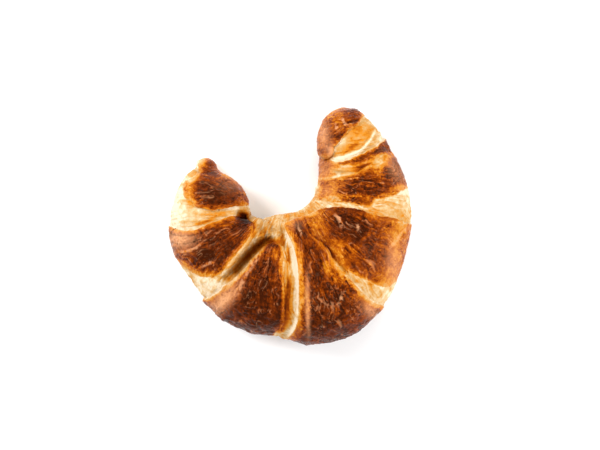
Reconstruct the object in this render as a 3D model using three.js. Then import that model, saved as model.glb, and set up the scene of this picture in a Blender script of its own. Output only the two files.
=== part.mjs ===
// A crescent croissant: one baked piece of rolled, layered dough, lying on its flat baked underside.
//
// Frame: millimetres, +Z up, +X to the right horn, +Y the way the horns point. The origin is the middle of the
// footprint's bounding box, on the surface that the croissant lies on.
//
// The roll is a sweep between two plan curves, the inner edge that faces the bay between the horns and the outer
// edge. On it, each turn of the dough ends in a lip, which stands proud of the turn below it.
import * as THREE from "three";

// Stations from the left tip to the right tip: inner edge x, y, outer edge x, y, height of the crown.
const STATIONS = [
  [-40.5, 35.5, -48.0, 36.5, 10],
  [-38.5, 29.0, -50.0, 31.0, 14],
  [-31.0, 24.5, -56.0, 24.5, 22],
  [-24.5, 18.0, -60.5, 15.0, 28],
  [-21.0, 8.5, -63.0, 4.0, 32],
  [-18.0, 4.0, -62.0, -11.0, 35],
  [-15.0, 4.0, -52.5, -27.0, 37],
  [-11.0, 5.0, -40.0, -45.0, 41],
  [-7.0, 6.0, -23.0, -54.5, 44],
  [-2.0, 6.5, -3.0, -58.0, 46],
  [3.0, 7.5, 18.0, -60.5, 47],
  [7.0, 9.5, 36.0, -53.5, 46],
  [10.0, 12.0, 51.0, -37.0, 43],
  [12.0, 15.0, 60.0, -13.0, 39],
  [13.5, 20.0, 62.5, 8.0, 36],
  [14.5, 27.0, 59.0, 26.0, 33],
  [14.5, 37.0, 52.0, 40.0, 30],
  [14.0, 47.0, 45.5, 50.0, 26],
  [17.5, 56.0, 38.5, 58.0, 20],
  [22.0, 62.5, 33.0, 62.5, 14],
];
const LEFT_TIP_LENGTH = 4; // the length over which each horn rounds off to its tip
const RIGHT_TIP_LENGTH = 7;
const WAIST = 0.44; // height of the widest line, as a share of the crown's height
const BELLY_POWER = 2.25; // squareness of the section below that line
const BELLY_DEPTH = 1.12; // how far the unpressed belly would reach, in waists: the surface flattens the rest

// Lips of the turns in plan. Each lip's own turn lies to the right of its direction of travel.
const LIPS = [
  { name: "left horn", rise: 2.6, points: [[-95, -6], [-63, -1], [-56, -2.5], [-49, -1.5], [-42, 0], [-36, 2.5],
    [-30, 4.5], [-24, 6], [-19, 9], [-8, 18]] },
  { name: "left shoulder", rise: 3.4, points: [[-75, -62], [-46, -39], [-38, -35], [-32, -30], [-26, -24],
    [-22, -18], [-17, -12], [-12.5, -8.2], [-8, -9], [-2, -11], [8, -17]] },
  { name: "right shoulder", rise: 2.4, points: [[2, -8], [3.5, 0], [5, 5.2], [10, 8], [16, 9.7], [22, 10.2],
    [28, 9.8], [34, 8.6], [39, 6.8], [45, 4.5], [52, 2.8], [62, 1.5], [95, -2]] },
  { name: "right horn", rise: 1.8, points: [[-8, 26], [14, 33], [21, 33.5], [27, 35.5], [33, 36], [38, 38],
    [44, 41], [48, 44.5], [75, 60]] },
  { name: "crown", rise: 3.4, closed: true, points: [[-4.5, 1.5], [-1, 3.5], [4, 5.2], [8, 2], [11, -3], [15, -8],
    [20, -15], [25, -20.5], [31, -27.5], [38, -34], [44, -39.5], [49, -44], [75, -70], [20, -100], [-15, -85],
    [-4, -58], [2, -54], [5, -47], [5.5, -38], [5, -30], [3.5, -20], [0.5, -10], [-3, -3]] },
];
const WALL_WIDTH = 6; // how far a lip's edge takes to drop to the turn below
const SHOULDER_WIDTH = 15; // how far from a lip its rise or dip evens out
const FOOT_FADE = 7; // relief fades out over this height above the flat underside
const OUTER_WRAP = 0.5; // below the waist, plan places run on outwards by this share of the way down
const INNER_WRAP = 0.25;

const TIP_FADE = 6; // and over this length at each tip

const RINGS = 124; // sections along the roll
const SPOKES = 40; // points round each section
const TIP_CROWDING = 0.5; // how much closer the sections stand at the tips than midway, from 0 to 1

const smooth = THREE.MathUtils.smoothstep;
const edgeCurve = (column) =>
  new THREE.CatmullRomCurve3(
    STATIONS.map((row) => new THREE.Vector3(row[column], row[column + 1], row[4])),
    false,
    "catmullrom",
    0.5,
  );
const innerEdge = edgeCurve(0);
const outerEdge = edgeCurve(2);

// Length of the middle line up to each ring's place, for rounding the tips off.
const middleLength = (() => {
  const steps = 400;
  const lengths = [0];
  const middle = (t) => innerEdge.getPoint(t).add(outerEdge.getPoint(t)).multiplyScalar(0.5).setZ(0);
  let last = middle(0);
  for (let i = 1; i <= steps; i++) {
    const next = middle(i / steps);
    lengths.push(lengths[i - 1] + next.distanceTo(last));
    last = next;
  }
  return { total: lengths[steps], at: (t) => lengths[Math.round(t * steps)] };
})();

// 0 at a tip, rising as a quarter circle to 1.
const roundedEnd = (distance, length) => {
  const t = Math.min(distance / length, 1);
  return Math.sqrt(Math.max(0, 1 - (1 - t) * (1 - t)));
};

// A point of the plain roll, without lips: place on it, and its place in plan with the sides folded outwards.
function rollPoint(t, angle) {
  const inner = innerEdge.getPoint(t);
  const outer = outerEdge.getPoint(t);
  const along = middleLength.at(t);
  const cap = roundedEnd(along, LEFT_TIP_LENGTH) * roundedEnd(middleLength.total - along, RIGHT_TIP_LENGTH);
  const across = new THREE.Vector2(outer.x - inner.x, outer.y - inner.y);
  const half = (across.length() / 2) * cap;
  across.normalize();
  const middle = new THREE.Vector2((inner.x + outer.x) / 2, (inner.y + outer.y) / 2);
  const crown = inner.z;
  const waist = crown * WAIST;
  const sine = Math.sin(angle);
  const cosine = Math.cos(angle);
  const below = sine < 0;
  const power = below ? 2 / BELLY_POWER : 1;
  const side = -half * Math.sign(cosine) * Math.abs(cosine) ** power;
  const reach = below ? waist * BELLY_DEPTH : crown - waist;
  const height = Math.max(0, waist + reach * cap * Math.sign(sine) * Math.abs(sine) ** power);
  const down = below ? waist - height : 0;
  const wrap = cosine < 0 ? down * OUTER_WRAP : -down * INNER_WRAP;
  const unrolled = (below ? -half * Math.sign(cosine) : side) + wrap;
  return {
    place: new THREE.Vector3(middle.x + across.x * side, middle.y + across.y * side, height),
    plan: new THREE.Vector2(middle.x + across.x * unrolled, middle.y + across.y * unrolled),
  };
}

// Distance in plan from a lip, positive on the turn that the lip ends.
function lipDistance(lip, plan) {
  const points = lip.points;
  const count = lip.closed ? points.length : points.length - 1;
  let best = Infinity;
  let side = 1;
  let crossings = 0;
  for (let i = 0; i < count; i++) {
    const [ax, ay] = points[i];
    const [bx, by] = points[(i + 1) % points.length];
    const dx = bx - ax;
    const dy = by - ay;
    const px = plan.x - ax;
    const py = plan.y - ay;
    const share = THREE.MathUtils.clamp((px * dx + py * dy) / (dx * dx + dy * dy), 0, 1);
    const distance = Math.hypot(px - share * dx, py - share * dy);
    if (distance < best - 1e-9) {
      best = distance;
      side = px * dy - py * dx > 0 ? 1 : -1;
    }
    if (ay > plan.y !== by > plan.y && plan.x < ax + (dx * (plan.y - ay)) / dy) crossings++;
  }
  if (lip.closed) side = crossings % 2 ? 1 : -1;
  return best * side;
}

// How far the surface stands proud of the plain roll at a place in plan.
function relief(plan) {
  let sum = 0;
  for (const lip of LIPS) {
    const d = lipDistance(lip, plan);
    const wall = smooth(d, -WALL_WIDTH / 2, WALL_WIDTH / 2);
    const shoulder = smooth(d, -SHOULDER_WIDTH, SHOULDER_WIDTH);
    sum += lip.rise * (wall - shoulder);
  }
  return sum;
}

// A point of the finished surface: the plain roll's point, moved along its normal by the relief.
function surfacePoint(t, angle) {
  const { place, plan } = rollPoint(t, angle);
  const step = 0.5 / RINGS;
  const turn = Math.PI / SPOKES;
  const along = rollPoint(Math.min(1, t + step), angle).place.sub(rollPoint(Math.max(0, t - step), angle).place);
  const around = rollPoint(t, angle + turn).place.sub(rollPoint(t, angle - turn).place);
  const normal = around.cross(along).normalize();
  const fade = smooth(place.z, 0, FOOT_FADE);
  place.addScaledVector(normal, relief(plan) * fade * tipFade(t));
  place.z = Math.max(0, place.z);
  return place;
}

// Relief dies out at the very tips, where the rings close up.
function tipFade(t) {
  const along = middleLength.at(t);
  return smooth(along, 0, TIP_FADE) * smooth(middleLength.total - along, 0, TIP_FADE);
}

function croissantGeometry() {
  const places = [surfacePoint(0, Math.PI / 2).toArray()];
  for (let i = 1; i < RINGS; i++) {
    for (let j = 0; j < SPOKES; j++) {
      places.push(surfacePoint(ringPlace(i), (2 * Math.PI * j) / SPOKES).toArray());
    }
  }
  places.push(surfacePoint(1, Math.PI / 2).toArray());
  const last = places.length - 1;
  const corner = (i, j) => 1 + (i - 1) * SPOKES + (j % SPOKES);
  const faces = [];
  for (let j = 0; j < SPOKES; j++) {
    faces.push([0, corner(1, j + 1), corner(1, j)]);
    faces.push([last, corner(RINGS - 1, j), corner(RINGS - 1, j + 1)]);
    for (let i = 1; i < RINGS - 1; i++) {
      faces.push([corner(i, j), corner(i + 1, j + 1), corner(i + 1, j)]);
      faces.push([corner(i, j), corner(i, j + 1), corner(i + 1, j + 1)]);
    }
  }
  const geometry = new THREE.BufferGeometry();
  geometry.setAttribute("position", new THREE.Float32BufferAttribute(places.flat(), 3));
  geometry.setIndex(faces.flat());
  geometry.computeVertexNormals();
  geometry.computeBoundingBox();
  const footprint = geometry.boundingBox.getCenter(new THREE.Vector3());
  geometry.translate(-footprint.x, -footprint.y, 0);
  return geometry;
}

// Rings crowd together towards the tips, so that these stay round.
function ringPlace(i) {
  const even = i / RINGS;
  return even - (TIP_CROWDING * Math.sin(2 * Math.PI * even)) / (2 * Math.PI);
}

const crust = new THREE.MeshStandardMaterial({ color: 0x9a5a26, roughness: 0.45, metalness: 0 });
const croissant = new THREE.Mesh(croissantGeometry(), crust);
croissant.name = "croissant";

const part = new THREE.Group();
part.add(croissant);
export default part;
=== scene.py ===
# The looks of one crescent croissant: a finely modelled skin of rolled dough around the imported CAD solid.
#
# The tables are in millimetres, the mesh in metres. +X points to the longer horn, +Y the way both horns
# point, +Z up. The roll of part.mjs carries finer relief here: lips of the turns, folds, swellings and
# wrinkles. Browning is worked out on the same places as the relief. The colour also holds painted shade in
# creases and hollows, and painted highlights: a pale sheen on facets that face a lamp, and glints on crests.
import math

import bpy
import numpy as np
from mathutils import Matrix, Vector


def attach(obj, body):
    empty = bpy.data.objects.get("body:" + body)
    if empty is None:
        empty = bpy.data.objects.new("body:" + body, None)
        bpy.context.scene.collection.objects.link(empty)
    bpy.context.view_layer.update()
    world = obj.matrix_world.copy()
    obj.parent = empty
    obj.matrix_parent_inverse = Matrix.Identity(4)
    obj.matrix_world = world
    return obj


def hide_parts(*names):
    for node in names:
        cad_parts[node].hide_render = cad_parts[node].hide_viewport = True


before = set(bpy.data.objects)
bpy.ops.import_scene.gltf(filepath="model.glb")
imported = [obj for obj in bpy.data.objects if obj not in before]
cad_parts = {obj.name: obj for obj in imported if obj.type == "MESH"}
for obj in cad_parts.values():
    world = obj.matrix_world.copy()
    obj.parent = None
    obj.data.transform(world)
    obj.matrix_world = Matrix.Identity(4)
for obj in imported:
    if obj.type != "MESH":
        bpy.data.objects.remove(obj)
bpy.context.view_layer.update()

METRE = 0.001  # one millimetre in metres
SEED = 11  # of the noise
NEARLY_ZERO = 1e-9
FAR_AWAY = 1e9

# ---------- the roll, as in part.mjs
# Stations from the left tip to the right tip: inner edge x, y, outer edge x, y, height of the crown.
STATIONS = np.array([
    (-40.5, 35.5, -48.0, 36.5, 10),
    (-38.5, 29.0, -50.0, 31.0, 14),
    (-31.0, 24.5, -56.0, 24.5, 22),
    (-24.5, 18.0, -60.5, 15.0, 28),
    (-21.0, 8.5, -63.0, 4.0, 32),
    (-18.0, 4.0, -62.0, -11.0, 35),
    (-15.0, 4.0, -52.5, -27.0, 37),
    (-11.0, 5.0, -40.0, -45.0, 41),
    (-7.0, 6.0, -23.0, -54.5, 44),
    (-2.0, 6.5, -3.0, -58.0, 46),
    (3.0, 7.5, 18.0, -60.5, 47),
    (7.0, 9.5, 36.0, -53.5, 46),
    (10.0, 12.0, 51.0, -37.0, 43),
    (12.0, 15.0, 60.0, -13.0, 39),
    (13.5, 20.0, 62.5, 8.0, 36),
    (14.5, 27.0, 59.0, 26.0, 33),
    (14.5, 37.0, 52.0, 40.0, 30),
    (14.0, 47.0, 45.5, 50.0, 26),
    (17.5, 56.0, 38.5, 58.0, 20),
    (22.0, 62.5, 33.0, 62.5, 14),
])
LEFT_TIP = 4.0  # the length over which each horn rounds off to its tip
RIGHT_TIP = 7.0
WAIST = 0.44  # height of the widest line, as a share of the crown's height
BELLY_POWER = 2.25  # squareness of the section below that line
BELLY_DEPTH = 1.12  # how far the unpressed belly would reach, in waists
OUTER_WRAP = 0.5  # below the waist, plan places run on outwards by this share of the way down
INNER_WRAP = 0.25
FOOT_FADE = 5.0  # relief fades out over this height above the underside
TIP_FADE = 3.0  # and over this length at each tip
FLANK_RELIEF = 0.7  # share of the relief that is left on upright flanks
UNDERSIDE = 0.02  # the skin lies this far above the surface that the croissant stands on
RINGS = 1000  # sections along the roll
SPOKES = 460  # points round each section
LENGTH_STEPS = 4000  # for measuring lengths along the roll
SECTION_STEPS = 1025  # for measuring round a section
SPACING_LINE = 0.6  # rings are evenly spaced this share of the way from the inner to the outer edge
CROWDING = 0.3  # how much closer they lie at the tips
FLAT_HEIGHT = 0.5  # up to this height, points belong to the flat underside
CROWN_COVER = (-1, 2.5)  # other lips fade out between these distances from the crown's lip
STEEPNESS = (0.35, 3)  # limits for evening out a lip's ragged edge
UNDERCUT = 0.7  # how far a lip's foot draws back, as a share of its lean
FULL_LEAN = 2  # rise from which a lip leans out fully
END_FADE = 0.1  # share of a line's length that fades out at each end
SPOT_FALL = 0.7  # half of a spot is left at its half length
WRINKLE_WIDTH = 3.2  # along the roll
WRINKLE_LENGTH = 8  # round the roll
WRINKLE_HEIGHT = 0.45
LAYER_HEIGHT = 0.3  # of the dough's layers
PALEST = 0.04  # browning of bare dough
EDGE_BROWN = 0.38  # browning of a glazed patch's amber edge
EDGE_START = 0.2  # distance from the outline at which it starts to turn browner


def path(reach, *points, sharp=0):
    """A line of points x, y, amount, and how far it reaches to its sides."""
    return {"reach": reach, "sharp": sharp, "points": points}


# Lips of the turns in plan: x, y, and how far the turn stands proud there. Each lip's own turn lies to the
# right of its travel. wall: width of its edge at the line's start and end; over: how far it leans out; above,
# below: how far from the edge the rise and the dip even out; torn: share of the wavering.
LIPS = {
    "left_cap": dict(wall=(1.2, 1.2), over=0.1, above=6, below=6, points=[
        (-10, 13, 0), (-23.4, 10.9, 0.8), (-28.6, 10.4, 1.4), (-34.7, 8.8, 1.6), (-41.6, 8.1, 1.6),
        (-47.7, 9.4, 1.4), (-51.1, 12.4, 1.2), (-54.4, 15.5, 0.8), (-55.2, 19.6, 0.5), (-54.4, 24, 0.5),
        (-51.5, 25, 0.6), (-49, 27.5, 0.8), (-48.5, 31, 0.6), (-49, 38, 0)]),
    "left_horn": dict(wall=(1.4, 1.8), over=0.3, above=12, below=10, points=[
        (-95, 4, 1), (-63, -0.2, 1.5), (-59.8, -1.6, 2), (-54.6, -2.6, 2.6), (-49.4, -2.1, 2.9),
        (-44.2, 0.1, 3.2), (-39, 2.3, 3.3), (-33, 4.7, 3.3), (-27.7, 5.3, 3), (-24, 3.6, 2.2), (-19, 5, 0.6),
        (-8, 8, 0)]),
    "left_shoulder": dict(wall=(1.4, 1.6), over=0.5, above=14, below=12, points=[
        (-75, -62, 1.4), (-47, -39.4, 2.4), (-41.2, -36.6, 3), (-33.6, -30.8, 3.4), (-28.6, -26.6, 3.8),
        (-24.3, -22.2, 4.2), (-19.1, -16.2, 4.4), (-14.7, -11.8, 4.4), (-9.5, -8.6, 3.8), (-4, -10.5, 2),
        (2, -12, 0.8), (8, -15, 0)]),
    "right_shoulder": dict(wall=(1.2, 1.2), over=0.4, above=12, below=8, points=[
        (0, -4, 0), (3.5, 2, 0), (5, 5, 1.2), (9, 6.2, 1.5), (13, 8, 2), (16.3, 8.9, 2.3), (20, 9.6, 2.6),
        (24, 9.9, 2.8), (28, 9.5, 2.8), (32.5, 9.2, 2.8), (37, 8, 2.6), (41.6, 6.3, 2.2), (46.8, 4.9, 1.8),
        (53.3, 4.1, 1.4), (58, 2, 1.1), (62, 1, 1), (95, -2, 1)]),
    "right_crease": dict(wall=(1, 1), over=0.2, above=5, below=5, points=[
        (30, -14, 0), (32, -11.4, 0.5), (34.4, -10, 0.8), (36, -6.8, 1), (39, -5.2, 1), (40.4, -1.8, 0.8),
        (43.4, 1.4, 0.2)]),
    "right_horn": dict(wall=(1.4, 1.4), over=0.1, above=10, below=8, points=[
        (-8, 26, 0.5), (14, 32.5, 0.8), (21, 33, 1), (25, 33.4, 1.6), (29.3, 34.6, 2.1), (35.1, 36.8, 2.4),
        (40.3, 39.4, 2.4), (44.2, 41.1, 2.2), (48.1, 44.6, 1.8), (60, 54, 1.2), (75, 66, 1)]),
    "right_band": dict(wall=(1.6, 1.6), over=0, above=5, below=5, points=[
        (10, 24, 0), (19.2, 25.2, 0.6), (24, 25.8, 1), (29.3, 26.4, 1.3), (33.8, 27, 1.6), (36.4, 29, 1.8),
        (40.3, 31, 1.8), (43.6, 31.2, 1.4), (46.4, 32.2, 0.9), (48.6, 34.2, 0.5), (50.4, 36.5, 0.2),
        (53, 40, 0)]),
    "right_cap": dict(wall=(1.2, 1.2), over=0.1, above=6, below=6, points=[
        (47, 73, 0.6), (40, 59.8, 1.2), (37.6, 57.2, 1.5), (35.6, 54, 1.7), (33.6, 51.4, 1.8),
        (29.9, 49.7, 1.8), (27.3, 46.4, 1.9), (23.4, 41.9, 1.8), (21, 41.6, 1), (15, 43.6, 0.6), (5, 44, 0)]),
    "crown": dict(wall=(3, 1.6), over=0, torn=0.35, above=13, below=9, points=[
        (-22, -72, 1.2), (-12, -62.5, 1.4), (-6, -58.6, 2), (-2, -56.4, 2.6), (0.6, -53.4, 3.2),
        (2.6, -49, 3.8), (3.4, -42, 4), (3.5, -35, 4), (3.1, -27, 4), (2.3, -19, 4), (0.8, -12, 4),
        (-1.4, -5.8, 3.8), (-3.6, -1, 3.4), (-3.8, 1.6, 3), (0, 2.9, 2.6), (3, 4.4, 2.4), (5.5, 4, 2.2),
        (7, 1.5, 1.9), (9.4, -3.4, 1.8), (12.6, -6.4, 1.8), (17.8, -10.3, 2), (20.7, -15.1, 2.4),
        (25.6, -21.3, 2.8), (28.9, -25.2, 2.9), (32.8, -29.8, 2.8), (38, -35, 2.6), (43.2, -39.5, 2),
        (48.4, -41.6, 1.4), (80, -57, 1.2)]),
}

# Folds: reach of the flanks, then a line of x, y, height, which is below 0 in a crease. sharp: how broadly
# the crest is rounded.
FOLDS = [
    path(6, (-12.5, -9.5, 0.3), (-18.2, -16, 1.4), (-21.7, -22.9, 2.4), (-26, -31.5, 2.9), (-27.5, -38, 2.9),
        (-31, -44, 2.4), (-38, -51, 1), sharp=0.7),
    path(5, (-29, -26, 0), (-33, -34, -0.9), (-38, -40, -1), (-43, -46, -0.5), sharp=0.8),
    path(4, (-1, 1, 0.4), (3, -3, 1), (5.5, -10, 1.3), (7, -20, 1.5), (9, -30, 2), (9.8, -42, 2.1),
        (8.8, -55, 1.5), (7, -68, 1), sharp=0.6),
    path(1.6, (5, -8, 0), (6.2, -20, -0.3), (7, -30, -0.6), (7.2, -42, -0.7), (6.4, -52, -0.6),
        (4.7, -62, -0.2), sharp=0.4),
    path(3.4, (11, -7, -0.4), (14.5, -14, -1.4), (15.8, -21, -1.6), (15.4, -29, -0.5), sharp=0.6),
    path(2.8, (16.8, -13, 0.3), (17.8, -20, 1.3), (17.6, -28, 1.3), (18.6, -35, 0.3), sharp=0.4),
    path(2.2, (27.5, -32.5, 0.4), (25.8, -37, 1.5), (23.4, -42, 1.5), (21.6, -47, 0.4), sharp=0.3),
    path(2.2, (20, -30, 0.2), (18.5, -37, 0.9), (18, -45, 0.9), (16, -53, 0.3), sharp=0.4),
    path(2.4, (29, -31, 0.2), (32, -36, 0.9), (33.5, -42, 0.9), (33, -49, 0.3), sharp=0.4),
    path(1.7, (21.6, 7.4, 0.4), (24.3, 4, 1.5), (26.3, 1, 1.5), (23.8, -2, 0.5), sharp=0.3),
    path(1.4, (33, 3, 0.3), (34.4, -0.5, 1), (34.2, -4, 0.3), sharp=0.3),
    path(6, (10, 3, 0.3), (18, 5.6, 1.1), (27, 5.4, 1.4), (36, 4, 1.2), (43, -1, 0.6), sharp=1),
    path(3, (45, -6, 0.2), (48.6, -12, 0.8), (49, -20, 0.9), (47, -28, 0.3), sharp=0.5),
    path(2.2, (-62, -13.8, 0.6), (-55, -13.3, 1.4), (-50, -12, 1.5), (-46.5, -9.6, 1.5), (-41, -8.2, 0.5),
        sharp=0.3),
    path(2, (-48, -22.4, 0.3), (-44, -20.6, 1.1), (-40.5, -19, 1), (-37, -20, 0.2), sharp=0.3),
    path(1, (-63, -4, -0.5), (-57, -5.2, -0.7), (-51, -5, -0.7), (-46, -3.4, -0.2), sharp=0.2),
    path(1, (-63, -8.4, -0.4), (-57, -9.4, -0.6), (-52, -8.8, -0.5), (-47, -7, -0.2), sharp=0.2),
    path(2.6, (-14.5, 4, 0.6), (-16.5, 1.4, 1.6), (-19.2, -3.6, 2.5), (-21.7, -8.1, 2.8), (-26.9, -14.4, 2.6),
        (-31.2, -20.3, 2.2), (-33.4, -24, 1), (-35, -27, 0.3), sharp=0.6),
    path(3.6, (-7.2, -7, -2), (-12.2, -7.8, -6), (-17.7, -11, -8), (-22.6, -16.1, -8), (-27, -21.3, -7),
        (-31.5, -25.2, -2.4), (-35.6, -28.4, -0.6), sharp=1.6),
    path(2.8, (-29.4, 6.6, -1), (-25.6, 5.4, -6), (-22.2, 4.6, -7), (-18.5, 4.4, -3), sharp=1),
    path(2.2, (-18, 4, 0.3), (-14.5, 1.4, 1.4), (-12, -2, 1.3), (-11, -6, 0.2), sharp=0.5),
    path(2.2, (-7.5, 5, 0.4), (-6, 0, 1.4), (-6.4, -5.5, 0.8), sharp=0.5),
    path(2, (-12.4, 5, -0.8), (-9.7, 1.4, -1.8), (-8.8, -3.4, -1.8), sharp=0.5),
    path(1.5, (12.5, 38.4, -0.6), (14.8, 35.6, -1.4), (18.5, 34.3, -1.7), (21.8, 36.2, -1.6),
        (22.8, 39.6, -1.2), (21.6, 41.4, -0.6), sharp=0.4),
    path(1.4, (22, 33.9, 0.3), (29.3, 36, 0.9), (36.4, 39.3, 1), (41.6, 45.1, 1), (44.4, 51.6, 0.4),
        sharp=0.3),
    path(1.4, (19, 30, 0.3), (27, 28.8, 0.9), (35, 28.3, 0.7), sharp=0.3),
    path(1.6, (24, 38.5, 0.3), (31, 39, 0.7), (37, 43, 0.8), (41, 49, 0.4), sharp=0.4),
    path(1.6, (-51, 31, -0.6), (-48.6, 28.2, -1.2), (-45, 27.4, -0.8), (-40, 28.6, -0.5), sharp=0.4),
]

# Swellings: centre x, y, half lengths along and across, turn in degrees, height.
MOUNDS = [
    (-45, 33, 5, 5, 0, 1.2), (-40, 18, 11, 8, 0, 1.6), (17.8, 39.2, 4, 4, 0, 2.1), (29, 0, 11, 7, -10, 1),
    (42, -14, 11, 13, 0, 1.2), (24, -46, 13, 11, 0, 1.6), (7, -61, 5, 6, 0, 1.5), (-11, -60, 4, 5, 0, -0.7),
    (-15, -38, 8, 15, -15, 1.4), (-46, -14, 13, 7, 25, 1.6), (36, 20, 14, 6, 10, 1.4), (24, 54, 6, 6, 0, 1),
    (-2, -30, 3, 22, 0, -1.4), (33, 61.6, 3, 2, -45, 1.9), (13, 19.4, 1.2, 1.2, 0, 1),
    (-15, 4.4, 1.6, 1.2, 0, -1.4),
]

# ---------- browning, painted shade and painted sheen
# Crust: closed outlines of the glazed surface, with its browning and the width of its amber edge. torn: share
# of the wavering; soft: how softly the outline ends.
CRUST = {
    "left_cap": dict(brown=0.76, edge=2.2, points=[
        (-48.8, 32.5), (-45, 37), (-39.5, 36), (-37.5, 29.5), (-34, 26.8), (-29, 24.5), (-24, 21),
        (-20.5, 13), (-22, 10.4), (-28.6, 10.4), (-34.7, 8.8), (-41.6, 8.1), (-47.7, 9.4), (-51.1, 12.4),
        (-55.2, 15.1), (-56.4, 19.6), (-55.4, 24), (-51.5, 25), (-49, 27.5), (-48.4, 30)]),
    "left_horn": dict(brown=0.78, edge=2.4, points=[
        (-70, 2), (-63, -0.2), (-59.8, -1.6), (-54.6, -2.6), (-49.4, -2.1), (-44.2, 0.1), (-39, 2.3),
        (-33, 4.7), (-27.7, 5.3), (-22.6, 4), (-19.4, 0), (-20.4, -4.4), (-23.6, -9.2), (-27.6, -14.2),
        (-32, -19.2), (-35.2, -23.6), (-38.4, -26.2), (-45.9, -26.2), (-51.1, -24), (-55.5, -20.6),
        (-66, -14)]),
    "left_shoulder": dict(brown=0.84, edge=1.8, points=[
        (-9.5, -8.6), (-14.7, -11.8), (-19.1, -16.2), (-24.3, -22.2), (-28.6, -26.6), (-33.6, -30.8),
        (-41.2, -36.6), (-47, -39.4), (-60, -50), (-38, -72), (-14, -72), (-9, -57), (-5, -52), (-3.2, -46),
        (-3.4, -38), (-3.6, -30), (-3.8, -22), (-3.6, -14), (-5.4, -10)]),
    "right_shoulder": dict(brown=0.6, edge=1.6, points=[
        (5, 4.6), (9, 5.8), (13, 7.8), (16.3, 8.7), (20, 9.4), (24, 9.7), (28, 9.3), (32.5, 9), (37, 7.8),
        (41.6, 6.1), (46.8, 4.7), (53.3, 3.9), (58, 1.8), (64, 0), (80, -14), (66, -30), (55, -29),
        (51, -31.2), (47, -31.5), (43, -30), (39, -28), (35, -26.3), (31, -24.4), (26, -22.6), (22, -22),
        (14, -14), (7, -4)]),
    "crown": dict(brown=0.8, edge=2.8, torn=0.3, points=[
        (-3.6, 1), (0, 2.9), (3, 4.4), (5.5, 4), (7, 1.5), (9.4, -3.4), (12.6, -6.4), (17.8, -10.3),
        (20.7, -15.1), (25.6, -21.3), (28.9, -25.2), (32.8, -29.8), (38, -35), (43.2, -39.5), (49, -42),
        (68, -55), (20, -85), (-8, -74), (-7, -61), (-3, -58.4), (0.6, -55), (2.8, -51), (3.6, -46), (4, -39),
        (4, -32), (3.7, -24), (2.9, -17), (1.3, -11), (-0.6, -6.2), (-2.8, -1.8)]),
    "right_band": dict(brown=0.68, edge=1.6, soft=0.9, points=[
        (23.7, 33.1), (29.3, 34.5), (35.1, 36.7), (40.3, 39.3), (44.2, 41), (48.1, 44.5), (58, 50), (62, 36),
        (54, 37), (50.6, 37.2), (46.8, 37.2), (42.6, 35.6), (40, 33.2), (35.1, 31.2), (30, 31), (25, 31.2)]),
    "right_left": dict(brown=0.6, edge=2, soft=1, points=[
        (8, 24), (7, 37), (12, 38.4), (16, 36.4), (19, 35), (22, 33), (26, 30.4), (22, 28.6), (24, 26.4),
        (18, 24)]),
    "right_horn": dict(brown=0.76, edge=2.8, soft=0.8, points=[
        (10, 13.6), (14, 20), (13, 25), (19.2, 25), (24, 25.6), (29.3, 26.2), (33.8, 26.8), (36.4, 28.8),
        (40.3, 30.8), (43.6, 30.8), (46.4, 31.8), (48.8, 33.8), (50, 36), (51, 38.5), (60, 36), (72, 26),
        (61, 19.6), (57.2, 18), (52.7, 15.3), (48.1, 14), (44.2, 13), (41.4, 9.9), (39, 9.3), (33.8, 10.8),
        (29.3, 11.3), (24, 11.9), (16, 12.6)]),
    "right_cap": dict(brown=0.64, edge=1.6, points=[
        (11, 46), (13.5, 52), (16, 58), (21, 62), (27, 65), (34, 66), (41, 60), (37.6, 57.2), (35.6, 54),
        (33.6, 51.4), (29.9, 49.7), (27.3, 46.4), (23.4, 41.9), (22.4, 39.5), (21.5, 36), (18.5, 34.2),
        (15, 35.4), (12.6, 38), (11.6, 42)]),
}
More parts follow.
